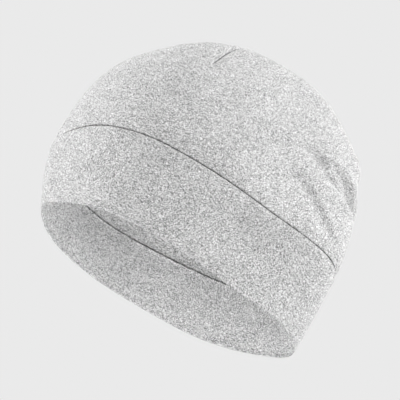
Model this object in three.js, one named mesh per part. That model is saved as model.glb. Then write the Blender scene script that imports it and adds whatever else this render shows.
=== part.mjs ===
// Thin knitted helmet liner cap: a deep domed crown sewn to a wide double band.
// Millimetres. +Z is up through the crown, -Y is the wearer's forehead and +X the wearer's left.
// The origin is the centre of the head opening, in the plane of the band's lower fold.
import * as THREE from 'three';

// Head opening, along the lower fold of the band
const RIM_FRONT = 100;
const RIM_BACK = 100;
const RIM_HALF_WIDTH = 74.4;
const RIM_WIDEST = -4.7;

// Seam between band and crown
const SEAM_HEIGHT = 52;
const SEAM_FRONT = 115.2;
const SEAM_BACK = 106;
const SEAM_HALF_WIDTH = 88.8;
const SEAM_WIDEST = -33.3;

// Dome of the crown, above the seam
const DOME_HEIGHT = 133;
const APEX_PLACE = -10.6;
const DOME_CENTRE = -8;

// Cloth
const CROWN_WALL = 1;
const BAND_WALL = 1.6;
const SEAM_GAP = 0.3;
const SEAM_TURN_IN = 1.6;
const SEAM_TURN_LENGTH = 4.5;
const SEAM_LEVEL_LENGTH = 8;
const BAND_SWELL = 1.8;

// Seam that closes the top of the crown, from one tip over the apex to the other:
// headings in degrees from the forehead, climbs as shares of the quarter turn up to the apex
const DART_HEADING = 81.5;
const DART_REACH = 3;
const DART_TIP = 0.43;
const DART_FADE = 0.13;
const DART_SINK = 1.6;

// Mesh density: counts, how much closer together the columns are at the back than in front,
// and the power that crowds the rows near the seam
const MESH = { columns: 84, backCrowding: 0.36, crownRows: 19, bandRows: 5, edgeSteps: 3, seamPower: 1.15 };

// How square each ring is: the power of its superellipse, ahead of and behind its widest place
const RING_POWER = {
  rim: { front: 2.06, back: 1.9 },
  seam: { front: 2.02, back: 2.49 },
};

// How the dome closes, by side: the powers of its width and of its height over a quarter turn
const DOME_POWER = {
  front: { width: 1.0, height: 0.805 },
  side: { width: 0.78, height: 1.05 },
  back: { width: 0.8, height: 0.89 },
};

// Slack of the cloth by heading, in degrees from the forehead towards the wearer's left.
// rim and seam are shares of those rings, lift is the fold's rise as a share of the seam height,
// and low, mid and high are shares of the dome's width a quarter, half and three quarters up.
const SLACK = [
  { heading: 0, rim: 1.005, seam: 1.025, lift: 0.115, low: 1.025, mid: 1.005, high: 0.98 },
  { heading: 30, rim: 0.955, seam: 0.995, lift: 0.06, low: 1.03, mid: 1.0, high: 0.975 },
  { heading: 60, rim: 0.99, seam: 1.015, lift: 0.015, low: 1.01, mid: 0.995, high: 0.985 },
  { heading: 90, rim: 0.975, seam: 1.015, lift: -0.03, low: 1.005, mid: 0.99, high: 1.02 },
  { heading: 120, rim: 0.955, seam: 0.945, lift: -0.07, low: 1.0, mid: 0.99, high: 1.075 },
  { heading: 150, rim: 0.965, seam: 1.04, lift: 0.02, low: 0.99, mid: 0.985, high: 1.04 },
  { heading: 180, rim: 1.03, seam: 0.975, lift: 0.035, low: 0.995, mid: 1.08, high: 1.0 },
  { heading: 210, rim: 0.985, seam: 0.98, lift: -0.03, low: 1.005, mid: 1.015, high: 1.025 },
  { heading: 240, rim: 0.955, seam: 0.995, lift: -0.07, low: 1.0, mid: 0.995, high: 1.04 },
  { heading: 270, rim: 0.955, seam: 1.01, lift: -0.02, low: 1.005, mid: 0.99, high: 1.015 },
  { heading: 300, rim: 0.96, seam: 1.025, lift: -0.01, low: 1.01, mid: 0.99, high: 0.99 },
  { heading: 330, rim: 0.99, seam: 1.005, lift: 0.03, low: 1.025, mid: 1.0, high: 0.98 },
];

// Soft folds of the slack back. Each runs down from one heading and climb to another, where climb
// is the share of the quarter turn from seam to apex. reach is its half width in degrees of
// heading, and sink its depth as a share of the dome height.
const FOLDS = [
  { from: 131, fromClimb: 0.33, to: 141.5, toClimb: 0.205, reach: 4.4, sink: 0.02 },
  { from: 143, fromClimb: 0.31, to: 158, toClimb: 0.21, reach: 5.5, sink: 0.03 },
  { from: 121, fromClimb: 0.21, to: 145, toClimb: 0.04, reach: 4.6, sink: 0.02 },
  { from: 228, fromClimb: 0.33, to: 217, toClimb: 0.2, reach: 4.8, sink: 0.02 },
  { from: 240, fromClimb: 0.21, to: 215, toClimb: 0.04, reach: 4.8, sink: 0.02 },
];

// Form of every fold: how soon it fades at its ends, as a slope over its length, and the ridges
// beside it, their place in reaches and their height as a share of the sink
const FOLD_FORM = { endSlope: 2, ridgePlace: 2, ridgeShare: 0.35 };

const radians = THREE.MathUtils.degToRad;
const degrees = THREE.MathUtils.radToDeg;
const clamp = THREE.MathUtils.clamp;
const smooth = (x) => clamp(x, 0, 1) ** 2 * (3 - 2 * clamp(x, 0, 1));
const signedPower = (x, power) => Math.sign(x) * Math.abs(x) ** power;

// One column of the slack table at any heading, by a closed curve through its rows
function slackAt(column, heading) {
  const count = SLACK.length;
  const place = ((degrees(heading) / 360) * count + count * 4) % count;
  const row = Math.floor(place);
  const part = place - row;
  const value = (step) => SLACK[(row + step + count) % count][column];
  const [a, b, c, d] = [value(-1), value(0), value(1), value(2)];
  const slope = c - a;
  const bend = 2 * a - 5 * b + 4 * c - d;
  const twist = 3 * b - a - 3 * c + d;
  return b + 0.5 * part * (slope + part * (bend + part * twist));
}

// Plan of a closed ring: two half superellipses that meet at its widest place
function ringPoint(heading, ring, power, column) {
  const along = Math.cos(heading);
  const across = Math.sin(heading);
  const exponent = 2 / (along > 0 ? power.front : power.back);
  const reach = along > 0 ? ring.front + ring.widest : ring.back - ring.widest;
  const share = slackAt(column, heading);
  return {
    x: share * ring.halfWidth * signedPower(across, exponent),
    y: share * (ring.widest - reach * signedPower(along, exponent)),
  };
}

const RIM = { front: RIM_FRONT, back: RIM_BACK, halfWidth: RIM_HALF_WIDTH, widest: RIM_WIDEST };
const SEAM = { front: SEAM_FRONT, back: SEAM_BACK, halfWidth: SEAM_HALF_WIDTH, widest: SEAM_WIDEST };
const rimPoint = (heading) => ringPoint(heading, RIM, RING_POWER.rim, 'rim');
const seamPoint = (heading) => ringPoint(heading, SEAM, RING_POWER.seam, 'seam');

// Outer face of the band. rise goes from 0 at the lower fold to 1 at the seam.
function bandFace(heading, rise) {
  const low = rimPoint(heading);
  const high = seamPoint(heading);
  const x = low.x + (high.x - low.x) * rise;
  const y = low.y + (high.y - low.y) * rise;
  const away = new THREE.Vector2(x / SEAM_HALF_WIDTH ** 2, y / SEAM_FRONT ** 2).normalize();
  const swell = BAND_SWELL * Math.sin(Math.PI * clamp(rise, 0, 1));
  const lift = slackAt('lift', heading) * SEAM_HEIGHT * (1 - rise);
  return new THREE.Vector3(x + away.x * swell, y + away.y * swell, SEAM_HEIGHT * rise + lift);
}

// Share of the dome's width that the slack adds or takes at one climb
function domeSlack(heading, climb) {
  const levels = [1, slackAt('low', heading), slackAt('mid', heading), slackAt('high', heading), 1];
  const place = clamp(climb, 0, 1) * (levels.length - 1);
  const level = Math.min(Math.floor(place), levels.length - 2);
  return levels[level] + (levels[level + 1] - levels[level]) * smooth(place - level);
}

// Power of the dome at a heading, blended between front, side and back
function domePower(heading, key) {
  const front = Math.max(Math.cos(heading), 0) ** 2;
  const back = Math.max(-Math.cos(heading), 0) ** 2;
  const side = 1 - front - back;
  return front * DOME_POWER.front[key] + side * DOME_POWER.side[key] + back * DOME_POWER.back[key];
}

// Smooth outer form of the crown. climb goes from 0 at the seam to 1 at the apex.
function domeFace(heading, climb) {
  const turn = (clamp(climb, 0, 1) * Math.PI) / 2;
  const width = climb >= 1 ? 0 : Math.cos(turn) ** domePower(heading, 'width');
  const height = Math.sin(turn) ** domePower(heading, 'height');
  const slack = domeSlack(heading, climb);
  const edge = seamPoint(heading);
  const centre = DOME_CENTRE + (APEX_PLACE - DOME_CENTRE) * height;
  const spread = width * slack;
  return new THREE.Vector3(
    spread * edge.x,
    centre + spread * (edge.y - DOME_CENTRE),
    SEAM_HEIGHT + DOME_HEIGHT * (height + 0.5 * (slack - 1) * climb),
  );
}

// Depth of the folds, inwards from the smooth form. Each valley has a low ridge on either side.
function foldSink(degree, climb) {
  let sink = 0;
  for (const fold of FOLDS) {
    const along = (fold.fromClimb - climb) / (fold.fromClimb - fold.toClimb);
    const centre = fold.from + (fold.to - fold.from) * along;
    const across = (degree - centre) / fold.reach;
    const start = smooth(0.5 + FOLD_FORM.endSlope * along);
    const end = smooth(0.5 + FOLD_FORM.endSlope * (1 - along));
    const valley = Math.exp(-(across ** 2));
    const ridges = Math.exp(-((Math.abs(across) - FOLD_FORM.ridgePlace) ** 2));
    sink += fold.sink * DOME_HEIGHT * start * end * (valley - FOLD_FORM.ridgeShare * ridges);
  }
  return sink;
}

// Depth of the groove along the top seam, which fades out at its tips and at the apex
function dartSink(degree, climb) {
  const side = degree > 180 ? 360 - degree : degree;
  const across = (side - DART_HEADING) / DART_REACH;
  const fade = smooth((climb - DART_TIP) / DART_FADE) * smooth((1 - climb) / DART_FADE);
  return DART_SINK * fade * Math.exp(-(across ** 2));
}

// Unit normal of a face, away from the head. It lies level at the seam, so that the two
// edges there meet flat.
function faceNormal(face, heading, share, seamDistance) {
  const step = 0.002;
  const place = clamp(share, 2 * step, 1 - 2 * step);
  const along = face(heading + step, place).sub(face(heading - step, place));
  const up = face(heading, place + step).sub(face(heading, place - step));
  const normal = along.cross(up).normalize();
  normal.z *= smooth(seamDistance / SEAM_LEVEL_LENGTH);
  return normal.normalize();
}

// How far the cloth is turned in at a distance from the seam
function turnIn(distance) {
  return SEAM_TURN_IN * Math.exp(-((distance / SEAM_TURN_LENGTH) ** 2));
}

// A step names a share of the face from edge to edge, an offset from there in millimetres,
// and a depth through the wall from 0 outside to 1 inside.
function bandPoint(heading, step) {
  const rise = step.share + step.offset / SEAM_HEIGHT;
  const distance = (1 - rise) * SEAM_HEIGHT;
  const normal = faceNormal(bandFace, heading, rise, distance);
  const sink = turnIn(distance) + step.depth * BAND_WALL;
  return bandFace(heading, rise).addScaledVector(normal, -sink);
}

function crownPoint(heading, step) {
  const power = domePower(heading, 'height');
  const sideLength = DOME_HEIGHT * (Math.PI / 2) ** power;
  const rise = step.share + step.offset / sideLength;
  const climb = rise ** (1 / power);
  const distance = rise * sideLength;
  const atApex = rise >= 1;
  const normal = atApex ? new THREE.Vector3(0, 0, 1) : faceNormal(domeFace, heading, climb, distance);
  const degree = (degrees(heading) + 360) % 360;
  const relief = foldSink(degree, climb) + dartSink(degree, climb);
  const sink = turnIn(distance) + relief + step.depth * CROWN_WALL;
  return domeFace(heading, climb).addScaledVector(normal, -sink);
}

// Headings of the columns: closer together at the slack back, with one on each top seam
function columnHeadings() {
  const headings = [];
  for (let column = 0; column < MESH.columns; column += 1) {
    const turn = (column / MESH.columns) * 2 * Math.PI;
    headings.push(turn + MESH.backCrowding * Math.sin(turn));
  }
  for (const seam of [radians(DART_HEADING), radians(360 - DART_HEADING)]) {
    const distances = headings.map((heading) => Math.abs(heading - seam));
    headings[distances.indexOf(Math.min(...distances))] = seam;
  }
  return headings;
}

const HEADINGS = columnHeadings();

// Half round edge of a wall: steps from its outer to its inner side. side is 1 where the edge
// is the upper end of the wall and -1 where it is the lower end.
function roundEdge(share, gap, wall, side) {
  const steps = [];
  for (let step = 0; step <= MESH.edgeSteps; step += 1) {
    const angle = (step / MESH.edgeSteps) * Math.PI;
    const offset = side * (-gap - (wall / 2) * (1 - Math.sin(angle)));
    steps.push({ share, offset, depth: 0.5 - 0.5 * Math.cos(angle) });
  }
  return steps;
}

// Closed mesh from rings with a point for each column, closed on themselves or on two poles. The
// four-sided faces are split along the folds, which lean the other way on the wearer's right.
function ringMesh(rings, closed, poles) {
  const positions = [];
  const indices = [];
  const width = rings[0].length;
  for (const ring of rings) {
    for (const point of ring) positions.push(point.x, point.y, point.z);
  }
  const bands = closed ? rings.length : rings.length - 1;
  for (let row = 0; row < bands; row += 1) {
    const next = (row + 1) % rings.length;
    for (let column = 0; column < width; column += 1) {
      const right = (column + 1) % width;
      const a = row * width + column;
      const b = row * width + right;
      const c = next * width + right;
      const d = next * width + column;
      if (HEADINGS[column] < Math.PI) indices.push(a, b, d, b, c, d);
      else indices.push(a, b, c, a, c, d);
    }
  }
  if (poles) {
    const first = positions.length / 3;
    positions.push(poles.first.x, poles.first.y, poles.first.z);
    positions.push(poles.last.x, poles.last.y, poles.last.z);
    const end = (rings.length - 1) * width;
    for (let column = 0; column < width; column += 1) {
      const right = (column + 1) % width;
      indices.push(first, right, column);
      indices.push(first + 1, end + column, end + right);
    }
  }
  const geometry = new THREE.BufferGeometry();
  geometry.setAttribute('position', new THREE.Float32BufferAttribute(positions, 3));
  geometry.setIndex(indices);
  geometry.computeVertexNormals();
  return geometry;
}

// Rows of a wall's outer face between its two edges, closer together near the seam
function faceRows(count, seamAtTop) {
  const rows = [];
  for (let row = 1; row < count; row += 1) {
    const share = (row / count) ** MESH.seamPower;
    rows.push({ share: seamAtTop ? 1 - share : share, offset: 0, depth: 0 });
  }
  return seamAtTop ? rows.reverse() : rows;
}
const innerRows = (rows) => [...rows].reverse().map((step) => ({ ...step, depth: 1 }));

// Band: one closed loop of rows, up outside, round the seam edge, down inside, round the fold
function bandGeometry() {
  const outside = faceRows(MESH.bandRows, true);
  const seamEdge = roundEdge(1, SEAM_GAP / 2, BAND_WALL, 1);
  const fold = roundEdge(0, 0, BAND_WALL, -1).reverse();
  const loop = [...outside, ...seamEdge, ...innerRows(outside), ...fold];
  const rings = loop.map((step) => HEADINGS.map((heading) => bandPoint(heading, step)));
  return ringMesh(rings, true, null);
}

// Crown: rows down inside from the apex, round the seam edge and up outside to the apex
function crownGeometry() {
  const outside = faceRows(MESH.crownRows, false);
  const seamEdge = roundEdge(0, SEAM_GAP / 2, CROWN_WALL, -1).reverse();
  const steps = [...innerRows(outside), ...seamEdge, ...outside];
  const rings = steps.map((step) => HEADINGS.map((heading) => crownPoint(heading, step)));
  const apex = (depth) => crownPoint(0, { share: 1, offset: 0, depth });
  return ringMesh(rings, false, { first: apex(1), last: apex(0) });
}

const jersey = { color: 0xcfcfcf, roughness: 0.95, metalness: 0 };

const crown = new THREE.Mesh(crownGeometry(), new THREE.MeshStandardMaterial(jersey));
crown.name = 'crown';

const doubledJersey = { ...jersey, color: 0xc8c8c8 };
const band = new THREE.Mesh(bandGeometry(), new THREE.MeshStandardMaterial(doubledJersey));
band.name = 'band';

const cap = new THREE.Group();
cap.add(crown, band);

export default cap;
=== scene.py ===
"""Thin knitted helmet liner cap: a deep domed crown sewn to a wide double band.

The row frame is used throughout, in metres: +Z up through the crown, -Y the wearer's forehead,
+X the wearer's left. The forms are worked out in millimetres and scaled at the end.
"""

import math

import bpy
import numpy as np
from mathutils import Matrix, Vector


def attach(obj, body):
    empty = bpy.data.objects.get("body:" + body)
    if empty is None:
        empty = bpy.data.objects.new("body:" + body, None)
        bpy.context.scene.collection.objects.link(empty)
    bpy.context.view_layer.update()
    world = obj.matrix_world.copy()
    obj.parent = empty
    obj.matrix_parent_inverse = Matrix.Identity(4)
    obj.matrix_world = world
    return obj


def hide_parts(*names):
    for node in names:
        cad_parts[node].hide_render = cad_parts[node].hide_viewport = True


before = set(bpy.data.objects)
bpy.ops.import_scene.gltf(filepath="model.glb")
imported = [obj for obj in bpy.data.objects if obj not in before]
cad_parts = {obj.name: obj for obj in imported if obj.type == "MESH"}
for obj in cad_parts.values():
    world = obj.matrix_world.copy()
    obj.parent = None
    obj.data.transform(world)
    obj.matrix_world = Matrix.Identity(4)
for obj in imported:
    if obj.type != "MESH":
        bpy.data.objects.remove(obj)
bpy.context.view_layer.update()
MM = 0.001

# Head opening, along the lower fold of the band
RIM = {"front": 100.0, "back": 100.0, "half_width": 74.4, "widest": -4.7}
RIM_POWER = {"front": 2.06, "back": 1.9}

# Seam between band and crown
SEAM = {"front": 115.2, "back": 106.0, "half_width": 88.8, "widest": -33.3}
SEAM_POWER = {"front": 2.02, "back": 2.49}
SEAM_HEIGHT = 52.0

# Dome of the crown, above the seam
DOME_HEIGHT = 133.0
APEX_PLACE = -10.6
DOME_CENTRE = -8.0
LEAST_WIDTH = 1e-9
WIDTH_POWER = {"front": 1.0, "side": 0.78, "back": 0.8}
HEIGHT_POWER = {"front": 0.805, "side": 1.05, "back": 0.89}

# Cloth: walls, gap at the seam, length over which its normal turns level there, swell of the band
CROWN_WALL = 1.0
BAND_WALL = 1.6
SEAM_GAP = 0.1
SEAM_LEVEL_LENGTH = 8.0
BAND_SWELL = 1.8

# Seam line: how each side turns in towards it, and the narrow groove of the stitches
CROWN_TURN = {"depth": 1.6, "length": 4.0}
BAND_TURN = {"depth": 1.6, "length": 1.6}
GROOVE = {"depth": 0.7, "length": 0.45}
INNER_TURN_SHARE = 0.8

# Painted shade of the stitched lines, from 0 to 1, standing for their dark thread and the shade in
# the seam's crack, and the headings where this painted shade is darker outside
PAINTED_SEAM_SHADE = {"outside": 0.31, "side": 0.16, "front": 0.3, "inside": 0.72, "dart": 0.95}
PAINTED_SEAM_SHADE_LENGTH = 0.5
DARK_FRONT = {"heading": 8.0, "reach": 16.0}
DARK_SIDE = {"heading": 100.0, "reach": 20.0}

# Seam that closes the top of the crown, over the ears
DART_HEADING = 81.5
DART_REACH = 3.0
DART_TIP = 0.385
DART_FADE = 0.08
DART_SINK = 1.6
DART_LINE = {"reach": 0.5, "depth": 0.9}

# Slack of the cloth every 30 degrees, from the forehead towards the wearer's left
SLACK = {
    "rim": (1.005, 0.955, 0.99, 0.975, 0.955, 0.965, 1.02, 0.985, 0.955, 0.955, 0.96, 0.99),
    "seam": (1.025, 0.995, 1.015, 1.015, 0.945, 1.04, 0.98, 0.98, 0.995, 1.01, 1.025, 1.005),
    "lift": (0.115, 0.06, 0.015, -0.03, -0.07, 0.02, 0.0, -0.045, -0.07, -0.02, -0.01, 0.03),
    "low": (1.025, 1.03, 1.01, 1.005, 0.985, 0.995, 1.005, 1.005, 1.0, 1.005, 1.01, 1.025),
    "mid": (1.005, 1.0, 0.995, 0.99, 0.99, 0.995, 1.08, 1.015, 0.995, 0.99, 0.99, 1.0),
    "high": (0.98, 0.975, 0.985, 1.02, 1.075, 1.04, 1.0, 1.025, 1.04, 1.015, 0.99, 0.98),
}

# Soft folds of the back: heading and climb at both ends, reach, depth share, below 0 a ridge
FOLDS = (
    (128.3, 0.31, 140.3, 0.225, 2.4, 0.018),
    (143.0, 0.3, 155.0, 0.2, 3.2, 0.036),
    (122.5, 0.185, 144.5, 0.04, 2.1, 0.014),
    (157.0, 0.45, 166.0, 0.37, 4.5, -0.013),
    (230.0, 0.33, 219.0, 0.2, 2.6, 0.02),
    (241.0, 0.21, 217.0, 0.04, 2.6, 0.018),
)
FOLD_END_SLOPE = 2.0
GENTLE_SIDE = 3.6
RIDGE_PLACE = 2.0
RIDGE_SHARE = 0.3

# Shallow hollow of the band behind the ear, under the lip of the seam
BAND_HOLLOW = {"heading": 117.0, "reach": 15.0, "bottom": 0.62, "lip": 0.95, "depth": 2.0}

# Painted light and shade on the yarn: painted shade inside the lower fold; behind the ear painted
# light over the seam and painted shade under it
PAINTED_FOLD_SHADE = {"share": 0.15, "length": 3.0}
CROWN_PAINTED_LIGHT = {"heading": 126.0, "reach": 16.0, "rise": 0.06, "height": 0.13, "share": -0.1}
BAND_PAINTED_SHADE = {"heading": 116.0, "reach": 15.0, "rise": 0.72, "height": 0.22, "share": 0.13}

# Crease that draws the lower fold out to a tip at the back
TIP = {"heading": 192.0, "reach": 14.0, "length": 3.0}

# Unevenness of worn cloth and of the seam's painted shade, sums of soft waves with seeded places,
# and puckers beside the seam
BAND_WAVES = {"size": 0.22, "seed": 11, "count": 14, "round": (5, 26), "up": (0.2, 1.6)}
BAND_PUCKER = {"size": 0.16, "seed": 12, "count": 10, "round": (60, 150), "up": (0.0, 0.6)}
CROWN_WAVES = {"size": 0.3, "seed": 21, "count": 16, "round": (3, 18), "up": (0.3, 2.5)}
CROWN_PUCKER = {"size": 0.16, "seed": 22, "count": 10, "round": (60, 150), "up": (0.0, 2.0)}
PAINTED_SEAM_SHADE_WAVES = {"size": 0.5, "seed": 31, "count": 12, "round": (25, 160), "up": (0.0, 1.0)}
PUCKER_LENGTH = 5.0
BAND_CALM = {"seam": 8.0, "below": 0.1, "fold": 0.3}
CROWN_CALM = {"seam": 10.0, "apex": 0.4}

# Mesh: columns and rows, closer together at the back, and at set distances beside the seam
COLUMNS = 480
BACK_CROWDING = 0.36
BAND_ROWS = 60
CROWN_ROWS = 130
CROWN_INNER_ROWS = 52
ROW_CROWDING = 1.15
ROW_GAP = 0.5
SEAM_STEPS = (0.15, 0.3, 0.5, 0.75, 1.05, 1.4, 1.85, 2.4, 3.0)
ARC_STEPS = 6
NORMAL_STEP = 0.002

# Mean radius of the cap, and length of the crown's side from the seam to the apex
CLOTH_RADIUS = 92.0
CROWN_LENGTH = 200.0

# Heathered yarn: flecks, streaks and broad unevenness, each with its share of the pattern
FLECKS = {"scale": 3400.0, "share": 0.88}
STREAKS = {"scale": 900.0, "stretch": 3.0, "detail": 1.0, "low": 0.36, "high": 0.64, "share": 0.08}
BROAD = {"scale": 45.0, "stretch": 1.6, "detail": 2.0, "low": 0.3, "high": 0.7, "share": 0.04}
CONTRAST = {"outside": 1.35, "more_inside": 1.6}
MIDDLE = 0.5

# Tones of the yarn: place in the pattern and share of the mean tone, from dark to pale
YARN_TONE = 0.44
TONE_RAMP = ((0.14, 0.03), (MIDDLE, 1.0), (0.86, 1.97))
PALEST = 0.98

# Surface of the yarn, by the names of the shader's inputs
YARN_SURFACE = (
    ("Roughness", 0.95),
    ("Specular IOR Level", 0.12),
    ("Sheen Weight", 0.04),
    ("Sheen Roughness", 0.4),
)

# Knit relief: size of one V stitch in metres, its slant, and what each form adds
STITCH = {"width": 0.0009, "height": 0.0007, "slant": 1.3}
RELIEF = {"stitch": 0.35, "rib": -2.0, "flecks": 0.3, "strength": 0.35, "distance": 0.00012}


def smooth(x):
    """Soft step from 0 to 1."""
    x = np.clip(x, 0.0, 1.0)
    return x * x * (3.0 - 2.0 * x)


def bell(x):
    """1 in the middle, falling softly to 0 on both sides."""
    return np.exp(-(x**2))


def full_degrees(heading):
    """Heading in degrees, from 0 to 360."""
    return (np.degrees(heading) + 360) % 360


def slack(column, heading):
    """One column of the slack table at any heading, by a closed curve through its rows."""
    table = np.array(SLACK[column])
    count = len(table)
    place = (np.degrees(heading) / 360.0 * count) % count
    row = np.floor(place).astype(int)
    part = place - row
    a, b, c, d = (table[(row + step) % count] for step in (-1, 0, 1, 2))
    bend = 2 * a - 5 * b + 4 * c - d
    twist = 3 * b - a - 3 * c + d
    return b + 0.5 * part * ((c - a) + part * (bend + part * twist))


def signed_power(x, power):
    """Power of the size of x, with the sign of x."""
    return np.sign(x) * np.abs(x) ** power


def ring(heading, size, power, column):
    """Plan of a closed ring: two half superellipses that meet at its widest place."""
    along, across = np.cos(heading), np.sin(heading)
    exponent = 2.0 / np.where(along > 0, power["front"], power["back"])
    reach = np.where(along > 0, size["front"] + size["widest"], size["back"] - size["widest"])
    share = slack(column, heading)
    x = share * size["half_width"] * signed_power(across, exponent)
    return x, share * (size["widest"] - reach * signed_power(along, exponent))


def band_face(heading, rise):
    """Outer face of the band, rise 0 at the lower fold and 1 at the seam."""
    low_x, low_y = ring(heading, RIM, RIM_POWER, "rim")
    beside_tip = (full_degrees(heading) - TIP["heading"]) / TIP["reach"]
    low_y = low_y + TIP["length"] * bell(beside_tip)
    high_x, high_y = ring(heading, SEAM, SEAM_POWER, "seam")
    x = low_x + (high_x - low_x) * rise
    y = low_y + (high_y - low_y) * rise
    away_x, away_y = x / SEAM["half_width"] ** 2, y / SEAM["front"] ** 2
    length = np.hypot(away_x, away_y)
    swell = BAND_SWELL * np.sin(np.pi * np.clip(rise, 0, 1))
    z = SEAM_HEIGHT * (rise + slack("lift", heading) * (1 - rise))
    return np.stack([x + away_x / length * swell, y + away_y / length * swell, z], -1)


def dome_slack(heading, climb):
    """Slack of the crown at any place, none at the seam and at the apex."""
    one = np.ones_like(heading)
    levels = [one, slack("low", heading), slack("mid", heading), slack("high", heading), one]
    steps = len(levels) - 1
    place = np.clip(climb, 0, 1) * steps
    level = np.minimum(np.floor(place).astype(int), steps - 1)
    low = np.choose(level, levels[:-1])
    high = np.choose(level, levels[1:])
    return low + (high - low) * smooth(place - level)


def dome_power(heading, power):
    """Power of the dome's curve, blended between its front, side and back."""
    front = np.clip(np.cos(heading), 0, 1) ** 2
    back = np.clip(-np.cos(heading), 0, 1) ** 2
    return front * power["front"] + (1 - front - back) * power["side"] + back * power["back"]


def dome_face(heading, climb):
    """Smooth outer form of the crown, climb 0 at the seam and 1 at the apex."""
    heading, climb = np.broadcast_arrays(heading, climb)
    turn = np.clip(climb, 0, 1) * np.pi / 2
    width = np.maximum(np.cos(turn), LEAST_WIDTH) ** dome_power(heading, WIDTH_POWER)
    height = np.sin(turn) ** dome_power(heading, HEIGHT_POWER)
    share = dome_slack(heading, climb)
    edge_x, edge_y = ring(heading, SEAM, SEAM_POWER, "seam")
    centre = DOME_CENTRE + (APEX_PLACE - DOME_CENTRE) * height
    spread = width * share
    z = SEAM_HEIGHT + DOME_HEIGHT * (height + 0.5 * (share - 1) * climb)
    return np.stack([spread * edge_x, centre + spread * (edge_y - DOME_CENTRE), z], -1)


def fold_sink(degree, climb):
    """Depth of the soft folds: a gentle fall from the ear, then a steep rise to a low ridge."""
    sink = np.zeros(np.broadcast_shapes(np.shape(degree), np.shape(climb)))
    for start, start_climb, end, end_climb, reach, share in FOLDS:
        along = (start_climb - climb) / (start_climb - end_climb)
        backwards = 1 if start < 180 else -1
        across = backwards * (degree - (start + (end - start) * along)) / reach
        fade = smooth(0.5 + FOLD_END_SLOPE * along) * smooth(0.5 + FOLD_END_SLOPE * (1 - along))
        valley = bell(np.where(across < 0, across / GENTLE_SIDE, across))
        ridge = bell(across - RIDGE_PLACE)
        sink += share * DOME_HEIGHT * fade * (valley - RIDGE_SHARE * ridge)
    return sink


def dart_fade(climb):
    """1 along the top seam, 0 beyond its lower tip and at the apex."""
    return smooth((climb - DART_TIP) / DART_FADE) * smooth((1 - climb) / DART_FADE)


def dart_away(degree):
    """Degrees from the nearer of the two top seams."""
    return np.abs(np.where(degree > 180, 360 - degree, degree) - DART_HEADING)


def dart_sink(degree, climb):
    """Depth of the groove along the top seam, a soft dip with a narrow line in it."""
    away = dart_away(degree)
    dip = DART_SINK * bell(away / DART_REACH)
    line = DART_LINE["depth"] * np.clip(1 - away / DART_LINE["reach"], 0, 1)
    return dart_fade(climb) * (dip + line)


def face_normal(face, heading, share, distance):
    """Unit normal away from the head, level at the seam."""
    place = np.clip(share, 2 * NORMAL_STEP, 1 - 2 * NORMAL_STEP)
    along = face(heading + NORMAL_STEP, place) - face(heading - NORMAL_STEP, place)
    up = face(heading, place + NORMAL_STEP) - face(heading, place - NORMAL_STEP)
    normal = np.cross(along, up)
    normal /= np.linalg.norm(normal, axis=-1, keepdims=True)
    normal[..., 2] *= smooth(distance / SEAM_LEVEL_LENGTH)
    return normal / np.linalg.norm(normal, axis=-1, keepdims=True)


def seam_sink(distance, depth, turn):
    """Depth of one side of the seam, a little less on the inner side of the cloth."""
    dip = turn["depth"] * bell(distance / turn["length"])
    groove = GROOVE["depth"] * bell(distance / GROOVE["length"])
    return (dip + groove) * (1 - (1 - INNER_TURN_SHARE) * depth)


def ripples(waves, heading, height):
    """Sum of soft waves with seeded places, about as large as the given size."""
    rng = np.random.default_rng(waves["seed"])
    total = np.zeros(np.broadcast_shapes(np.shape(heading), np.shape(height)))
    for _ in range(waves["count"]):
        turns = int(rng.integers(*waves["round"]))
        climbs = rng.uniform(*waves["up"]) * rng.choice((-1, 1))
        phase = rng.uniform(0, 2 * np.pi)
        total = total + np.sin(turns * heading + climbs * 2 * np.pi * height + phase)
    return waves["size"] * (total / math.sqrt(waves["count"]))


def painted_shade(heading, distance, depth):
    """Painted shade of the stitched line, with its dark thread, stronger at the ear, at the
    forehead and on the inside.
    """
    degree = full_degrees(heading)
    side = bell((degree - DARK_SIDE["heading"]) / DARK_SIDE["reach"])
    front = bell((degree - DARK_FRONT["heading"]) / DARK_FRONT["reach"])
    outside = PAINTED_SEAM_SHADE["outside"] + PAINTED_SEAM_SHADE["side"] * side + PAINTED_SEAM_SHADE["front"] * front
    share = outside + (PAINTED_SEAM_SHADE["inside"] - outside) * depth
    share = share * (1 + ripples(PAINTED_SEAM_SHADE_WAVES, heading, 0.0))
    return share * bell(distance / PAINTED_SEAM_SHADE_LENGTH)


def band_hollow(heading, rise):
    """Depth of the hollow behind the ear, which ends at the lip below the seam."""
    across = bell((full_degrees(heading) - BAND_HOLLOW["heading"]) / BAND_HOLLOW["reach"])
    below = smooth(rise / BAND_HOLLOW["bottom"])
    above = smooth((BAND_HOLLOW["lip"] - rise) / (BAND_HOLLOW["lip"] - BAND_HOLLOW["bottom"]))
    return BAND_HOLLOW["depth"] * across * below * above


def painted_shade_and_light(tone, heading, rise, depth):
    """Painted shade: a slightly darker patch on the cloth's outer side; where its share is below 0,
    a paler patch of painted light.
    """
    across = (full_degrees(heading) - tone["heading"]) / tone["reach"]
    up = (rise - tone["rise"]) / tone["height"]
    return tone["share"] * (1 - depth) * np.exp(-(across**2) - up**2)


def painted_fold_shade(rise, depth):
    """Painted shade on the inner side of the lower fold, which the light would pick out."""
    distance = np.abs(rise) * SEAM_HEIGHT
    inside = np.minimum(1, 2 * depth)
    return PAINTED_FOLD_SHADE["share"] * inside * bell(distance / PAINTED_FOLD_SHADE["length"])


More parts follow.
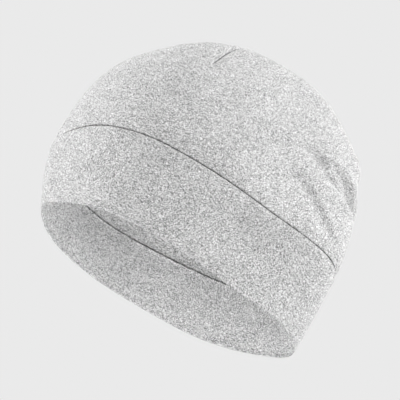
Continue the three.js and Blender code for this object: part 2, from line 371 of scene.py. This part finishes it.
def band_point(heading, share, offset, depth):
    """Points of the band's cloth, and how far they lie below the seam."""
    rise = share + offset / SEAM_HEIGHT
    distance = (1 - rise) * SEAM_HEIGHT
    normal = face_normal(band_face, heading, rise, distance)
    uneven = ripples(BAND_WAVES, heading, rise) * smooth(distance / BAND_CALM["seam"])
    uneven = uneven * smooth((rise + BAND_CALM["below"]) / BAND_CALM["fold"])
    pucker = ripples(BAND_PUCKER, heading, rise) * bell(distance / PUCKER_LENGTH)
    sink = seam_sink(distance, depth, BAND_TURN) + depth * BAND_WALL + uneven + pucker
    sink = sink + band_hollow(heading, rise)
    return band_face(heading, rise) - normal * sink[..., None], distance


def crown_point(heading, share, offset, depth):
    """Points of the crown's cloth, and how far they lie above the seam."""
    power = dome_power(heading, HEIGHT_POWER)
    side_length = DOME_HEIGHT * (np.pi / 2) ** power
    rise = share + offset / side_length
    climb = np.clip(rise, 0, 1) ** (1 / power)
    distance = rise * side_length
    normal = face_normal(dome_face, heading, climb, distance)
    degree = full_degrees(heading)
    uneven = ripples(CROWN_WAVES, heading, climb) * smooth(distance / CROWN_CALM["seam"])
    uneven = uneven * smooth((1 - climb) / CROWN_CALM["apex"])
    pucker = ripples(CROWN_PUCKER, heading, climb) * bell(distance / PUCKER_LENGTH)
    sink = seam_sink(distance, depth, CROWN_TURN) + fold_sink(degree, climb)
    sink = sink + dart_sink(degree, climb) + depth * CROWN_WALL + uneven + pucker
    return dome_face(heading, climb) - normal * sink[..., None], distance


def column_headings(count):
    """Headings of the columns, closer together at the slack back, three at each top seam."""
    turn = np.arange(count) / count * 2 * np.pi
    headings = turn + BACK_CROWDING * np.sin(turn)
    lines = []
    for seam in (DART_HEADING, 360 - DART_HEADING):
        headings[np.argmin(np.abs(headings - math.radians(seam)))] = math.radians(seam)
        lines += [seam - DART_LINE["reach"], seam + DART_LINE["reach"]]
    return np.sort(np.concatenate([headings, np.radians(lines)]))


def round_edge(share, gap, wall, side, steps):
    """Half round edge of a wall, from its outer to its inner side."""
    angle = np.linspace(0, np.pi, steps + 1)
    offset = side * (-gap - wall / 2 * (1 - np.sin(angle)))
    return [(share, o, 0.5 - 0.5 * math.cos(a)) for o, a in zip(offset, angle)]


def face_rows(count, length, seam_at_top):
    """Rows of one face, close together at the seam."""
    near = np.array(SEAM_STEPS) / length
    far = (np.arange(1, count) / count) ** ROW_CROWDING
    shares = np.concatenate([near, far[far > near[-1] + ROW_GAP / length]])
    if seam_at_top:
        shares = 1 - shares[::-1]
    return [(share, 0.0, 0.0) for share in shares]


def inner_rows(rows):
    """The same rows on the inner side of the cloth, in reverse order."""
    return [(share, offset, 1.0) for share, offset, _ in rows[::-1]]


def quads_between(rows, columns, closed):
    """Corner numbers of the quads between neighbouring rings of points."""
    row = np.arange(rows if closed else rows - 1)[:, None]
    column = np.arange(columns)[None, :]
    after_row, after_column = (row + 1) % rows, (column + 1) % columns
    corners = (
        row * columns + column,
        row * columns + after_column,
        after_row * columns + after_column,
        after_row * columns + column,
    )
    return np.stack(corners, -1).reshape(-1, 4)


def pole_faces(rows, columns):
    """Triangles from the first and the last ring to the two poles."""
    first_pole, last_ring = rows * columns, (rows - 1) * columns
    faces = []
    for place in range(columns):
        beside = (place + 1) % columns
        faces.append([first_pole, beside, place])
        faces.append([first_pole + 1, last_ring + place, last_ring + beside])
    return faces


def lay_cloth(mesh, cloth, quad_count):
    """The cloth's own coordinates in metres as UV map, running on where the rings close."""
    columns = cloth.shape[1]
    poles = [[0.0, cloth[0, 0, 1]], [0.0, cloth[-1, -1, 1]]]
    flat = np.concatenate([cloth.reshape(-1, 2), poles])
    vertex = np.zeros(len(mesh.loops), int)
    mesh.loops.foreach_get("vertex_index", vertex)
    corners = flat[vertex]
    last_column = np.flatnonzero(np.arange(quad_count) % columns == columns - 1)
    turn_length = cloth[:, -1, 0].max() * columns / (columns - 1)
    for corner in (1, 2):
        corners[last_column * 4 + corner, 0] += turn_length
    layer = mesh.uv_layers.new(name="cloth")
    layer.data.foreach_set("uv", (corners * MM).ravel())


def closed_mesh(name, rings, cloth, shade, inner, poles):
    """Closed shell from rings of points: the last ring meets the first, or two poles end it."""
    rows, columns = rings.shape[:2]
    points = rings.reshape(-1, 3)
    quads = quads_between(rows, columns, poles is None)
    faces = quads.tolist()
    if poles is not None:
        points = np.concatenate([points, poles])
        faces += pole_faces(rows, columns)
    mesh = bpy.data.meshes.new(name)
    mesh.from_pydata((points * MM).tolist(), [], faces)
    mesh.update()
    lay_cloth(mesh, cloth, len(quads))
    # Painted shade and painted light of the cloth, and its inner side, as marks on the points
    for title, values in (("painted_shade", shade), ("inner_side", inner)):
        marks = np.zeros(len(mesh.vertices))
        marks[: shade.size] = np.broadcast_to(values, shade.shape).ravel()
        mesh.attributes.new(title, "FLOAT", "POINT").data.foreach_set("value", marks)
    mesh.shade_smooth()
    piece = bpy.data.objects.new(name, mesh)
    bpy.context.collection.objects.link(piece)
    return piece


def cloth_map(heading, distances):
    """Cloth coordinates in millimetres: round the head, and up from the seam."""
    return np.stack(np.broadcast_arrays(heading * CLOTH_RADIUS, distances), -1)


def build_band(heading):
    """The band: outer side, seam edge, inner side and the soft lower fold, all in one loop."""
    outside = face_rows(BAND_ROWS, SEAM_HEIGHT, True)
    seam_edge = round_edge(1, SEAM_GAP / 2, BAND_WALL, 1, ARC_STEPS)
    fold = round_edge(0, 0, BAND_WALL, -1, ARC_STEPS)[::-1]
    steps = np.array([*outside, *seam_edge, *inner_rows(outside), *fold])[:, :, None]
    rise, offset, depth = steps[:, 0], steps[:, 1], steps[:, 2]
    rings, distances = band_point(heading, rise, offset, depth)
    # Painted shade in the seam's crack, with the dark thread of its stitches, and painted shade on
    # the band under the seam's lip behind the ear
    shade = painted_shade(heading, distances, depth) + painted_shade_and_light(BAND_PAINTED_SHADE, heading, rise, depth)
    # Painted shade inside the lower fold, against the lamps' light on its edge
    shade = shade + painted_fold_shade(rise, depth)
    return closed_mesh("cap_band", rings, cloth_map(heading, -distances), shade, depth, None)


def build_crown(heading):
    """The crown: inner side, seam edge and outer side, from the inner pole to the outer one."""
    outside = face_rows(CROWN_ROWS, CROWN_LENGTH, False)
    inside = face_rows(CROWN_INNER_ROWS, CROWN_LENGTH, False)
    seam_edge = round_edge(0, SEAM_GAP / 2, CROWN_WALL, -1, ARC_STEPS)[::-1]
    steps = np.array([*inner_rows(inside), *seam_edge, *outside])[:, :, None]
    rise, offset, depth = steps[:, 0], steps[:, 1], steps[:, 2]
    rings, distances = crown_point(heading, rise, offset, depth)
    climb = np.clip(rise, 0, 1) ** (1 / dome_power(heading, HEIGHT_POWER))
    # Dark thread and painted shade along the top seam's line, and painted shade in the seam's crack
    on_dart = dart_away(full_degrees(heading)) < DART_LINE["reach"] / 2
    dart = PAINTED_SEAM_SHADE["dart"] * dart_fade(climb) * on_dart
    shade = np.maximum(painted_shade(heading, distances, depth), dart)
    # Painted light: a paler patch of the crown over the seam behind the ear
    shade = shade + painted_shade_and_light(CROWN_PAINTED_LIGHT, heading, climb, depth)
    apex = dome_face(np.array([0.0]), np.array([1.0]))[0]
    poles = np.array([apex - (0, 0, CROWN_WALL), apex])
    return closed_mesh("cap_crown", rings, cloth_map(heading, distances), shade, depth, poles)


def jersey(name, tone):
    """Fine heathered jersey: flecks of lighter and darker yarn, painted shade and painted light
    from the mesh's marks, and a fine knit relief.
    """
    material = bpy.data.materials.new(name)
    material.use_nodes = True
    nodes, links = material.node_tree.nodes, material.node_tree.links
    shader = nodes["Principled BSDF"]
    for title, value in YARN_SURFACE:
        shader.inputs[title].default_value = value
    place = nodes.new("ShaderNodeTexCoord")

    def attribute(title):
        node = nodes.new("ShaderNodeAttribute")
        node.attribute_name = title
        return node.outputs["Fac"]

    def noise(kind):
        mapping = nodes.new("ShaderNodeMapping")
        mapping.inputs["Scale"].default_value = (1.0, 1.0, kind["stretch"])
        links.new(place.outputs["Object"], mapping.inputs["Vector"])
        texture = nodes.new("ShaderNodeTexNoise")
        texture.inputs["Scale"].default_value = kind["scale"]
        texture.inputs["Detail"].default_value = kind["detail"]
        texture.inputs["Roughness"].default_value = 0.5
        links.new(mapping.outputs["Vector"], texture.inputs["Vector"])
        return spread(texture.outputs["Fac"], kind["low"], kind["high"])

    def yarn_flecks(scale):
        texture = nodes.new("ShaderNodeTexVoronoi")
        texture.inputs["Scale"].default_value = scale
        links.new(place.outputs["Object"], texture.inputs["Vector"])
        parts = nodes.new("ShaderNodeSeparateColor")
        links.new(texture.outputs["Color"], parts.inputs["Color"])
        return parts.outputs["Red"]

    def math_node(kind, first, second=0):
        node = nodes.new("ShaderNodeMath")
        node.operation = kind
        for socket, value in ((node.inputs[0], first), (node.inputs[1], second)):
            if isinstance(value, (int, float)):
                socket.default_value = value
            else:
                links.new(value, socket)
        return node.outputs[0]

    def spread(value, low, high):
        node = nodes.new("ShaderNodeMapRange")
        node.inputs["From Min"].default_value = low
        node.inputs["From Max"].default_value = high
        links.new(value, node.inputs["Value"])
        return node.outputs["Result"]

    flecks = yarn_flecks(FLECKS["scale"])
    mixed = math_node("MULTIPLY", flecks, FLECKS["share"])
    for kind in (STREAKS, BROAD):
        mixed = math_node("ADD", mixed, math_node("MULTIPLY", noise(kind), kind["share"]))
    contrast = math_node("MULTIPLY", attribute("inner_side"), CONTRAST["more_inside"])
    contrast = math_node("ADD", CONTRAST["outside"], contrast)
    mixed = math_node("MULTIPLY", math_node("SUBTRACT", mixed, MIDDLE), contrast)
    mixed = math_node("ADD", mixed, MIDDLE)
    ramp = nodes.new("ShaderNodeValToRGB")
    ramp.color_ramp.elements.new(MIDDLE)
    for element, (position, share) in zip(ramp.color_ramp.elements, TONE_RAMP):
        element.position = position
        element.color = (min(tone * share, PALEST),) * 3 + (1.0,)
    links.new(mixed, ramp.inputs["Fac"])
    yarn_with_painted_shade = nodes.new("ShaderNodeVectorMath")
    yarn_with_painted_shade.operation = "SCALE"
    links.new(ramp.outputs["Color"], yarn_with_painted_shade.inputs[0])
    # Painted shade darkens the yarn's colour, and painted light, a mark below 0, makes it paler
    links.new(math_node("SUBTRACT", 1.0, attribute("painted_shade")), yarn_with_painted_shade.inputs["Scale"])
    links.new(yarn_with_painted_shade.outputs["Vector"], shader.inputs["Base Color"])

    # Knit relief: columns of small V stitches in the cloth's own coordinates
    uv = nodes.new("ShaderNodeSeparateXYZ")
    links.new(place.outputs["UV"], uv.inputs["Vector"])
    wale = math_node("MULTIPLY", uv.outputs["X"], 1 / STITCH["width"])
    course = math_node("MULTIPLY", uv.outputs["Y"], 1 / STITCH["height"])
    beside = math_node("ABSOLUTE", math_node("SUBTRACT", math_node("FRACT", wale), 0.5))
    slant = math_node("ADD", course, math_node("MULTIPLY", beside, STITCH["slant"]))
    stitch = math_node("SINE", math_node("MULTIPLY", slant, 2 * math.pi))
    rib = math_node("MULTIPLY", beside, RELIEF["rib"])
    relief = math_node("ADD", math_node("MULTIPLY", stitch, RELIEF["stitch"]), rib)
    relief = math_node("ADD", relief, math_node("MULTIPLY", flecks, RELIEF["flecks"]))
    bump = nodes.new("ShaderNodeBump")
    bump.inputs["Strength"].default_value = RELIEF["strength"]
    bump.inputs["Distance"].default_value = RELIEF["distance"]
    links.new(relief, bump.inputs["Height"])
    links.new(bump.outputs["Normal"], shader.inputs["Normal"])
    return material


def plain(name, tone, roughness):
    """Even matt paint."""
    material = bpy.data.materials.new(name)
    material.use_nodes = True
    shader = material.node_tree.nodes["Principled BSDF"]
    shader.inputs["Base Color"].default_value = (tone, tone, tone, 1.0)
    shader.inputs["Roughness"].default_value = roughness
    shader.inputs["Specular IOR Level"].default_value = 0.1
    return material


HEADINGS = column_headings(COLUMNS)[None, :]

crown = build_crown(HEADINGS)
crown.data.materials.append(jersey("crown_jersey", YARN_TONE))
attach(crown, "root")
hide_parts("crown")

band = build_band(HEADINGS)
band.data.materials.append(jersey("band_jersey", YARN_TONE))
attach(band, "root")
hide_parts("band")

# Floor, well below the cap, which a head would hold up
FLOOR_HEIGHT = -0.45
FLOOR_REACH = 8.0
FLOOR_TONE = 0.8
FLOOR_ROUGHNESS = 0.9
floor_sides = ((-1, -1), (1, -1), (1, 1), (-1, 1))
floor_corners = [(x * FLOOR_REACH, y * FLOOR_REACH, FLOOR_HEIGHT) for x, y in floor_sides]
floor_mesh = bpy.data.meshes.new("floor")
floor_mesh.from_pydata(floor_corners, [], [(0, 1, 2, 3)])
floor = bpy.data.objects.new("floor", floor_mesh)
bpy.context.collection.objects.link(floor)
floor_mesh.materials.append(plain("floor_pale", FLOOR_TONE, FLOOR_ROUGHNESS))

# Studio: an even pale surround
BACKGROUND = 0.8228
world = bpy.data.worlds.new("studio")
bpy.context.scene.world = world
world.use_nodes = True
surround = world.node_tree.nodes["Background"]
surround.inputs["Color"].default_value = (BACKGROUND, BACKGROUND, BACKGROUND, 1.0)
surround.inputs["Strength"].default_value = 1.0


def add_light(name, data, place, watts):
    """Lamp of the given kind at its place."""
    data.energy = watts
    light = bpy.data.objects.new(name, data)
    bpy.context.collection.objects.link(light)
    light.location = place
    return light


# Large soft lamps round the cap, all aimed at its middle: name, place and watts
LAMP_SIZE = 1.0
LAMP_TARGET = Vector((0.0, 0.0, 0.07))
SOFT_LAMPS = (
    ("low_front_light", (0.0, -1.47, -0.24), 10.0),
    ("front_light", (0.0, -1.41, 0.58), 9.5),
    ("far_light", (-1.0, 1.0, 0.58), 3.3),
    ("side_light", (0.7, 1.22, 0.58), 9.0),
    ("high_side_light", (0.68, 0.68, 1.22), 4.3),
    ("back_light", (0.0, 0.96, 1.22), 9.0),
    ("top_light", (0.05, 0.0, 1.57), 5.3),
)
for name, place, watts in SOFT_LAMPS:
    lamp_data = bpy.data.lights.new(name, "AREA")
    lamp_data.shape = "DISK"
    lamp_data.size = LAMP_SIZE
    lamp = add_light(name, lamp_data, place, watts)
    lamp.rotation_euler = (LAMP_TARGET - Vector(place)).to_track_quat("-Z", "Y").to_euler()

# Small glows inside the cap, for the light that the pale cloth passes on: name, place and watts
GLOW_RADIUS = 0.03
GLOWS = (
    ("hollow_light", (0.03, -0.01, 0.01), 0.2),
    ("front_hollow_light", (0.0, -0.03, -0.01), 0.075),
    ("back_hollow_light", (-0.01, 0.03, 0.01), 0.014),
)
for name, place, watts in GLOWS:
    glow_data = bpy.data.lights.new(name, "POINT")
    glow_data.shadow_soft_size = GLOW_RADIUS
    glow = add_light(name, glow_data, place, watts)
    glow.visible_camera = False

# Camera at the photograph's angle: below the rim, on the wearer's left, and rolled
CAMERA_AZIMUTH = math.radians(90.963)
CAMERA_ELEVATION = math.radians(-24.916)
CAMERA_ROLL = math.radians(28.726)
CAMERA_DISTANCE = 0.78182
CAMERA_TARGET = Vector((0.0, -0.005128, 0.069388))
SENSOR_WIDTH = 36.0
FOCAL_SHARE = 1076.59 / 400.0
CLIP = {"near": 0.05, "far": 50.0}

back = Vector(
    (
        math.sin(CAMERA_AZIMUTH) * math.cos(CAMERA_ELEVATION),
        -math.cos(CAMERA_AZIMUTH) * math.cos(CAMERA_ELEVATION),
        math.sin(CAMERA_ELEVATION),
    )
)
level = (-back).cross(Vector((0, 0, 1))).normalized()
upright = level.cross(-back)
right = level * math.cos(CAMERA_ROLL) + upright * math.sin(CAMERA_ROLL)
up = upright * math.cos(CAMERA_ROLL) - level * math.sin(CAMERA_ROLL)
camera_data = bpy.data.cameras.new("camera")
camera_data.sensor_width = SENSOR_WIDTH
camera_data.lens = SENSOR_WIDTH * FOCAL_SHARE
camera_data.clip_start = CLIP["near"]
camera_data.clip_end = CLIP["far"]
camera = bpy.data.objects.new("camera", camera_data)
bpy.context.collection.objects.link(camera)
turn = Matrix((right, up, back)).transposed()
camera.matrix_world = Matrix.Translation(CAMERA_TARGET + back * CAMERA_DISTANCE) @ turn.to_4x4()
bpy.context.scene.camera = camera
bpy.context.scene.view_settings.view_transform = "Standard"
